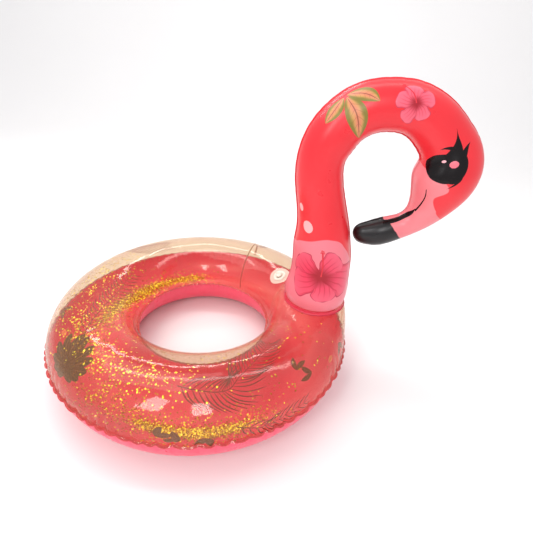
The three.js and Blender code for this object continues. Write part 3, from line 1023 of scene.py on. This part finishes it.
def neck_section(run, section):
    """A point of the neck's right side; run is metres from the foot, section 0 at the back, pi at the
    throat. The section is an ellipse that closes like a dome over the beak's last millimetres, and
    creases sink it near the two welds."""
    run, section = np.broadcast_arrays(run, section)
    into_tip = np.clip((run - neck_length + tip_length) / tip_length, 0, tip_closed)
    half = along_neck(half_widths, run) * np.sqrt(1 - into_tip**2)
    narrow = 1 + (neck_sideways - 1) * smooth(run / neck_length, 0, narrowing_length)
    from_back = section * half
    from_throat = (np.pi - section) * half
    phase = np.pi * run / crease_step + 0.9 * np.sin(31 * run) + 0.5 * np.sin(73 * run)
    crease = (1 - np.abs(np.sin(phase))) ** 1.6 * (0.7 + 0.3 * np.sin(47 * run + 1))
    bent = smooth(run, 0.2, 0.3) * (1 - smooth(run, 0.93, 0.98))
    sink = crease * bent * (throat_crease_depth * np.exp(-((from_throat / crease_reach) ** 2))
                            + back_crease_depth * np.exp(-((from_back / crease_reach) ** 2)))
    reach_back = (half - sink) * np.cos(section)
    x = along_neck(middle_line[:, 0], run) + along_neck(to_back[:, 0], run) * reach_back
    z = along_neck(middle_line[:, 1], run) + along_neck(to_back[:, 1], run) * reach_back
    y = -(half - sink) * narrow * np.sin(section)
    return np.stack([ring_middle[0] + x, ring_middle[1] + y, seam_height + z], -1)


def neck_surface(run, width):
    """The neck's right side measured in metres: run from the foot, width from the middle of the side
    towards the back (below 0 towards the throat)."""
    run, width = np.broadcast_arrays(run, width)
    section = np.pi / 2 - width / (map_stretch * along_neck(half_widths, run))
    return neck_section(run, np.clip(section, 0.0, np.pi))


def mirrored(part):
    """The same part on the neck's left side."""
    points, faces, values = part
    return points * (1, -1, 1), faces[:, ::-1], values


def neck_panel():
    """The right panel: a film sheet with its welded lips along the back and the throat, closed at its
    two ends. Columns stand closer together near the welds, and rows over the beak's tip."""
    dome = tip_length * (1 - np.sin(np.linspace(0, np.pi / 2, 9)[1:]))
    run = np.concatenate([np.linspace(0, neck_length - tip_length, 438), neck_length - dome])[:, None]
    forwards, upwards = (along_neck(to_back[:, axis], run) for axis in (0, 1))
    lip = neck_lip * np.stack([forwards, 0 * run, upwards], -1)
    run, section = np.broadcast_arrays(run, np.pi * bunched(36, 0.5))
    width = (np.pi / 2 - section) * map_stretch * along_neck(half_widths, run)
    layers = []
    for inset in (0, film_thickness):
        layer = lifted(neck_section, run, section, inset)
        layer[..., 1] = np.minimum(layer[..., 1], -(weld_gap / 2 + film_thickness - inset))
        layers.append(np.concatenate([layer[:, :1] + lip, layer, layer[:, -1:] - lip], 1))
    run = np.concatenate([run[:, :1], run, run[:, -1:]], 1)
    width = np.concatenate([width[:, :1], width, width[:, -1:]], 1)
    points, faces, values = grid_part(film_sheet(*layers), along=film_sheet(run, run),
                                      across=film_sheet(width, width), round_columns=True)
    columns = 2 * run.shape[1]
    column = np.arange(run.shape[1] - 1)
    end = np.stack([column, column + 1, columns - 2 - column, columns - 1 - column], -1)
    last = (run.shape[0] - 1) * columns
    return points, np.concatenate([faces, end, end[:, ::-1] + last]), values


coral_vinyl = (241, 50, 60)
coral_dark = (234, 42, 52)
pale_pink = (244, 128, 141)
face_pink = (236, 122, 130)
face_pale = (248, 142, 148)
beak_black = (20, 17, 19)
print_edge = 0.0012
# Edges of the print as (width, run) or (run, width) pairs in metres, and the ranges they are drawn over.
base_outline = [(-0.085, 0.066), (-0.0763, 0.1248), (-0.0453, 0.1672), (-0.0107, 0.1844), (0.0259, 0.1779),
                (0.066, 0.1679), (0.085, 0.16)]
face_outline = [(0.6968, -0.089), (0.73, -0.05), (0.7648, -0.0083), (0.7949, -0.0214), (0.8166, -0.0032),
                (0.8282, 0.0214), (0.842, 0.09)]
beak_outline = [(-0.041, 0.938), (-0.030, 0.928), (-0.018, 0.922), (-0.003, 0.913), (0.027, 0.900),
                (0.045, 0.893)]


def edge_curve(start, reading_wire, pairs, reading_range, value_range):
    """A smooth edge through (reading, value) pairs: a grey ramp over the reading's range, scaled to the
    value's range."""
    low, high = reading_range
    bottom, top = value_range
    stops = [((place - low) / (high - low), (*[(value - bottom) / (top - bottom)] * 3, 1.0))
             for place, value in pairs]
    ramp = start.node("ValToRGB", {"stops": stops, "interpolation": "CARDINAL"},
                      {0: (reading_wire - low) / (high - low)})
    return ramp * (top - bottom) + bottom


coral_film, start, shader = new_material("coral_film")
run = reading(start, "along")
width = reading(start, "across")
clouds = noise(start, 7.0).step(0.3, 0.7)
skin = clouds.mixed(colour(*coral_dark), colour(*coral_vinyl))
base_edge = edge_curve(start, width, base_outline, (-0.12, 0.12), (0.0, 0.25))
in_base = 1.0 - (run - base_edge).step(-print_edge, print_edge)
skin = in_base.mixed(skin, colour(*pale_pink))
face_edge = edge_curve(start, run, face_outline, (0.68, 0.86), (-0.1, 0.1))
in_face = run.step(0.69, 0.693) * (1.0 - (width - face_edge).step(-print_edge, print_edge))
skin = in_face.mixed(skin, noise(start, 25.0).mixed(colour(*face_pink), colour(*face_pale)))
beak_edge = edge_curve(start, width, beak_outline, (-0.06, 0.06), (0.85, 0.96))
in_beak = (run - beak_edge).step(-print_edge, print_edge)
skin = in_beak.mixed(skin, colour(*beak_black))
link(skin, shader, "Base Color")
vinyl_gloss(start, shader, 35.0, 55.0)

right_panel = neck_panel()
add_piece("neck_right_film", [right_panel], coral_film, "neck", ["neck_right_panel"])
add_piece("neck_left_film", [mirrored(right_panel)], coral_film, "neck", ["neck_left_panel"])

foot_low, foot_high = (np.array(corner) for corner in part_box("neck_foot_panel"))
angle = np.linspace(0, 2 * np.pi, 96, endpoint=False)[:, None]
foot_radius = (foot_high[0] - foot_low[0]) / 2
foot_thickness = foot_high[2] - foot_low[2]
radius = np.array([0.0, 0.3, 0.7, 0.98, 1.0, 1.0, 0.98, 0.7, 0.3, 0.0])[None, :] * foot_radius
level = np.array([0, 0, 0, 0, 0.2, 0.8, 1, 1, 1, 1.0])[None, :] * foot_thickness + foot_low[2]
foot_points = about_foot(angle, radius, level)
foot_material = vinyl_material("foot_film", coral_vinyl, coral_dark)
add_piece("neck_foot_film", [grid_part(foot_points, round_rows=True)], foot_material, "neck",
          ["neck_foot_panel"])


# ---- Flowers, leaves and spots on the neck ----
# Printed ink on both panels: a large hibiscus on the pale base, three gold and green leaves and a small
# hibiscus over the arch, and two pale spots low on the neck.

ink_lift = 0.00012
petal_pink = (234, 58, 92)
petal_pale = (244, 100, 124)
petal_core = (170, 8, 36)
petal_rim = (186, 30, 66)
petal_light = (250, 112, 130)
stamen_red = (200, 14, 40)
stamen_light = (226, 40, 58)
leaf_gold = (214, 160, 90)
leaf_green = (134, 124, 50)
leaf_rose = (222, 128, 104)
leaf_brown = (150, 84, 54)
spot_pink = (252, 176, 178)
spot_pale = (253, 190, 190)
spot_middle = (253, 184, 186)
leaf_stalk = (0.4618, 0.0518)
# Paths of the gold and green leaves, as (run, width), with their half widths and tones.
neck_leaf_paths = [
    ([leaf_stalk, (0.484, 0.036), (0.5028, 0.0151)], 0.0135, 0.2),
    ([(0.456, 0.0495), (0.436, 0.040), (0.4129, 0.035)], 0.014, 0.5),
    ([(0.460, 0.046), (0.459, 0.004), (0.4387, -0.0374)], 0.019, 0.8),
]


def petal_width(half_width, ruffle):
    """Half widths of a petal: narrow at its root, widest at two thirds, with a ruffled rounded end."""
    return lambda t: (half_width * 1.2 * np.clip(t, 0.02, 1) ** 0.6 * (1 - np.clip(t, 0, 0.999) ** 7) ** 0.55
                      * (1 + ruffle * np.sin(19 * t)))


def hibiscus(centre, tips, fullness, stamen_path, stamen_width, paleness):
    """Petals round a centre, each a little higher than the one before, and a stamen with knobs at its
    end: the petals and the stamen as two lists of parts."""
    petals = []
    for number, tip in enumerate(tips):
        reach = np.subtract(tip, centre)
        aside = np.array([-reach[1], reach[0]]) * 0.07
        path = [centre, np.add(centre, reach * 0.5) + aside, np.array(tip, float)]
        petals.append(blade(neck_surface, path, petal_width(np.linalg.norm(reach) * fullness, 0.05),
                            ink_lift * (1 + 0.25 * number), paleness, 26, 13))
    stamen = [blade(neck_surface, stamen_path, lambda t: stamen_width * (1.1 - 0.3 * t), ink_lift * 2.6, 1.0,
                    24, 5)]
    end = np.array(stamen_path[-1])
    for number in range(9):
        angle = 2.4 * number
        knob = end + stamen_width * (0.9 + 0.16 * number) * np.array([np.cos(angle), np.sin(angle)])
        stamen.append(disc(neck_surface, knob, stamen_width * 0.6, ink_lift * 3.0, 1.0))
    return petals, stamen


petal_ink, start, shader = new_material("petal_ink")
along, across, tone = (reading(start, key) for key in ("along", "across", "tone"))
side = start.maths("ABSOLUTE", across)
fans = start.maths("SINE", across * 15.0 + along * 2.0).step(0.55, 0.98) * (1.0 - along.step(0.45, 0.95))
core = 1.0 - along.step(0.08, 0.5)
rim = start.maths("MAXIMUM", side.step(0.86, 0.97), along.step(0.955, 0.985))
petal = (along.step(0.35, 1.0) * 0.7 + side * 0.2 + noise(start, 90.0) * 0.2).mixed(
    colour(*petal_pink), colour(*petal_pale))
petal = (tone * 0.55).mixed(petal, colour(*petal_light))
petal = (fans * 0.5).mixed(petal, colour(*stamen_red))
petal = core.mixed(petal, colour(*petal_core))
petal = (rim * 0.8).mixed(petal, colour(*petal_rim))
link(petal, shader, "Base Color")
link(noise(start, 60.0) * 0.1 + 0.3, shader, "Roughness")

stamen_ink = ink_material("stamen_ink", stamen_red, stamen_light, stamen_red)
big_petals, big_stamen = hibiscus(
    (0.0933, 0.0064), [(0.132, 0.066), (0.062, 0.074), (0.030, -0.010), (0.070, -0.082), (0.140, -0.038)],
    0.5, [(0.0933, 0.0052), (0.1248, 0.0028), (0.155, 0.0033)], 0.0022, 0.0)
small_petals, small_stamen = hibiscus(
    (0.5639, 0.012), [(0.530, 0.020), (0.557, 0.044), (0.592, 0.030), (0.588, -0.010), (0.548, -0.021)],
    0.47, [(0.5639, 0.012), (0.556, 0.028), (0.5416, 0.0428)], 0.0012, 1.0)

neck_leaf_ink, start, shader = new_material("neck_leaf_ink")
along = reading(start, "along")
across = reading(start, "across")
side = start.maths("ABSOLUTE", across)
leaf = (side.step(0.0, 0.5) * 0.6 + noise(start, 45.0).step(0.35, 0.7) * 0.4).mixed(
    colour(*leaf_rose), colour(*leaf_gold))
leaf = (side + noise(start, 70.0) * 0.3 - 0.15).step(0.3, 0.75).mixed(leaf, colour(*leaf_green))
ribs = start.maths("SINE", along * 42.0 - side * 8.0).step(0.9, 1.0) * 0.45
leaf = start.maths("MAXIMUM", ribs, 1.0 - side.step(0.02, 0.09)).mixed(leaf, colour(*leaf_brown))
link(leaf, shader, "Base Color")
link(noise(start, 60.0) * 0.1 + 0.3, shader, "Roughness")
neck_leaves = [blade(neck_surface, path, leaf_width(half_width), ink_lift, tone, 30, 11)
               for path, half_width, tone in neck_leaf_paths]
pale_ink = ink_material("pale_ink", spot_pink, spot_pale, spot_middle)
spots = [disc(neck_surface, (0.2518, 0.0521), 0.0062, ink_lift, 0.5, 1.5),
         disc(neck_surface, (0.2087, 0.0384), 0.0125, ink_lift, 0.5, 1.15)]


def add_print(name, parts, material):
    """The same print on both sides of the neck."""
    add_piece(f"{name}_right", parts, material, "neck", closed=False)
    add_piece(f"{name}_left", [mirrored(part) for part in parts], material, "neck", closed=False)


add_print("neck_print_petals", big_petals + small_petals, petal_ink)
add_print("neck_print_stamens", big_stamen + small_stamen, stamen_ink)
add_print("neck_print_leaves", neck_leaves, neck_leaf_ink)
add_print("neck_print_spots", spots, pale_ink)


# ---- Face ----
# Printed ink on both sides of the head: a big dark eye with lashes and two highlights, the line of the
# mouth, and the black band that runs from the mouth along the throat to the beak.

eye_black = (12, 5, 7)
eye_soft = (24, 8, 11)
highlight_pink = (236, 104, 122)
highlight_pale = (252, 196, 202)
highlight_vein = (240, 120, 136)
eye_centre = (0.7150, -0.0290)
eye_outline = [(0.714, -0.067), (0.733, -0.061), (0.748, -0.049), (0.754, -0.03), (0.752, -0.016),
               (0.746, -0.005), (0.737, 0.004), (0.722, 0.008), (0.71, 0.009), (0.699, 0.004),
               (0.6915, -0.008), (0.6825, -0.021), (0.677, -0.04), (0.687, -0.059), (0.699, -0.066)]
# Lashes as paths of (run, width), each with its half width and taper.
lash_paths = [
    ([(0.6800, -0.0100), (0.6920, 0.0020), (0.7090, 0.0065), (0.7280, 0.0035), (0.7430, -0.0050),
      (0.7500, -0.0160)], 0.0075, 0.0),
    ([(0.6930, -0.0070), (0.6760, 0.0050), (0.6620, 0.0125), (0.6480, 0.0195)], 0.0165, 2.1),
    ([(0.7080, -0.0020), (0.6950, 0.0090), (0.6870, 0.0180), (0.6820, 0.0280)], 0.0090, 1.1),
    ([(0.6840, 0.0010), (0.6745, -0.0080), (0.6695, -0.0160), (0.6675, -0.0245)], 0.0052, 0.9),
    ([(0.7300, 0.0020), (0.7420, 0.0020), (0.7530, -0.0035), (0.7640, -0.0130)], 0.0062, 1.0),
    ([(0.7400, -0.0230), (0.7480, -0.0150), (0.7520, -0.0060)], 0.0050, 1.0),
]
mouth_path = [(0.7805, -0.046), (0.800, -0.0376), (0.822, -0.0327), (0.847, -0.0285)]
band_path = [(0.842, -0.0315), (0.858, -0.030), (0.880, -0.0305), (0.905, -0.0305), (0.925, -0.032),
             (0.942, -0.034)]


def lash_width(half_width, taper):
    """Half widths of a lash: full at its root, running out to a point as (1 - t)^taper. Without a taper
    it is rounded off at both ends."""
    if taper:
        return lambda t: half_width * (1 - np.clip(t, 0, 0.985)) ** taper
    return leaf_width(half_width, 0.35)


black_ink = ink_material("black_ink", eye_black, eye_soft, eye_black, 0.2, 0.3)
eye = [outline_print(neck_surface, eye_outline, eye_centre, ink_lift, 0.0)]
lashes = [blade(neck_surface, path, lash_width(half_width, taper), ink_lift * (1.2 + 0.1 * number), 0.0,
                36, 9)
          for number, (path, half_width, taper) in enumerate(lash_paths)]
mouth = [blade(neck_surface, mouth_path, lambda t: 0.0007 + 0.0012 * t, ink_lift * 1.1, 0.0, 30, 3)]
band = [blade(neck_surface, band_path, lambda t: 0.0012 + 0.0052 * smooth(t, 0.0, 0.35), ink_lift * 1.1,
              0.0, 40, 7)]
add_print("head_print_eye", eye + lashes + mouth + band, black_ink)
highlight_ink = ink_material("highlight_ink", highlight_pink, highlight_pale, highlight_vein)
add_print("head_print_highlights",
          [disc(neck_surface, (0.6990, -0.0279), 0.0045, ink_lift * 2.6, 0.9, 0.8),
           disc(neck_surface, (0.7098, -0.0115), 0.0085, ink_lift * 2.6, 0.1, 0.9)], highlight_ink)


# ---- Neck valve ----
# The same push-in valve, low on the bird's left side in the middle of the panel.

neck_valve_run = 0.145


def neck_left_surface(u, v):
    """The left panel in the same measures as the right one."""
    return neck_surface(u, v) * (1, -1, 1)


add_valve("neck_valve", Place("neck_valve", neck_left_surface, neck_valve_run, 0.0, -1), "neck")
